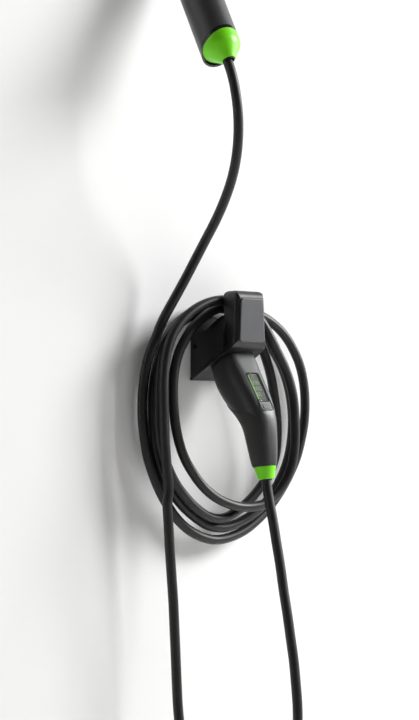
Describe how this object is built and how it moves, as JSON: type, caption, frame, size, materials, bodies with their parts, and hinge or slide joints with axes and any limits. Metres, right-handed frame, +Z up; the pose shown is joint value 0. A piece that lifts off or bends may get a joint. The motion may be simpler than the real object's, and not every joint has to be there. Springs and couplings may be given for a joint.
{
  "type": "ev charging cable wall holster",
  "caption": "Wall holster with a curved saddle that holds a coiled charging cable and docks its connector with a small display.",
  "frame": {"origin": "centre of the four wall screw holes, on the back face of the wall plate, which lies on the wall", "axes": "+Z up, +Y into the wall, -Y out towards a person in front, +X to that person's right"},
  "size_m": [0.292, 0.1683, 1.1178],
  "materials": {
    "plate_steel": "satin powder coat",
    "body_plastic": "fine moulded texture",
    "front_plastic": "fine moulded texture",
    "panel_plastic": "satin",
    "soft_rubber": "matt",
    "screw_steel": "zinc plated",
    "shell_plastic": "satin",
    "grip_rubber": "soft touch",
    "cover_plastic": "satin",
    "lens_clear": "clear moulded window",
    "display_panel": "reflective display",
    "board_laminate": "solder mask",
    "button_plastic": "satin",
    "nose_plastic": "semi matt",
    "contact_silver": "silver plated copper",
    "green_plastic": "satin lime green",
    "relief_rubber": "matt",
    "clamp_plastic": "glass filled nylon",
    "cable_jacket": "smooth polyurethane jacket"
  },
  "bodies": {
    "holster": {"wall_plate": "plate_steel", "holster_body": "body_plastic", "holster_front": "front_plastic", "end_stop_panel": "panel_plastic", "dock_sleeve": "body_plastic", "dock_grip_ring": "soft_rubber", "front_screws": "screw_steel", "side_screws": "screw_steel", "plug_shell_left": "shell_plastic", "plug_shell_right": "shell_plastic", "plug_end_cone": "green_plastic", "plug_nose": "nose_plastic", "plug_pin_carrier": "nose_plastic", "plug_power_pins": "contact_silver", "plug_pilot_pins": "contact_silver", "plug_gasket": "soft_rubber", "plug_strain_relief": "relief_rubber", "plug_clamp": "clamp_plastic", "plug_clamp_screws": "screw_steel", "plug_shell_screws": "screw_steel", "cable_lower": "cable_jacket", "cable_coil": "cable_jacket", "cable_upper": "cable_jacket"},
    "connector": {"handle_shell_left": "shell_plastic", "handle_shell_right": "shell_plastic", "grip_overmould": "grip_rubber", "display_cover": "cover_plastic", "display_lens": "lens_clear", "display_gasket": "soft_rubber", "display_module": "display_panel", "display_board": "board_laminate", "button_switch": "button_plastic", "connector_nose": "nose_plastic", "contact_carrier": "nose_plastic", "power_contacts": "contact_silver", "pilot_contacts": "contact_silver", "nose_gasket": "soft_rubber", "handle_collar": "green_plastic", "strain_relief": "relief_rubber", "cable_clamp": "clamp_plastic", "clamp_screws": "screw_steel", "shell_screws": "screw_steel"},
    "button": {"push_button": "button_plastic"}
  },
  "joints": [
    {"name": "connector_pull", "type": "slide", "parent": "holster", "child": "connector", "axis": [0, -0.4695, -0.8829], "range_m": [0, 0.06], "deforming": ["cable_lower"]},
    {"name": "button_press", "type": "slide", "parent": "connector", "child": "button", "axis": [0, 0.832, -0.5548], "range_m": [0, 0.001], "stiffness_N_per_m": 600, "springref_m": -0.001}
  ]
}
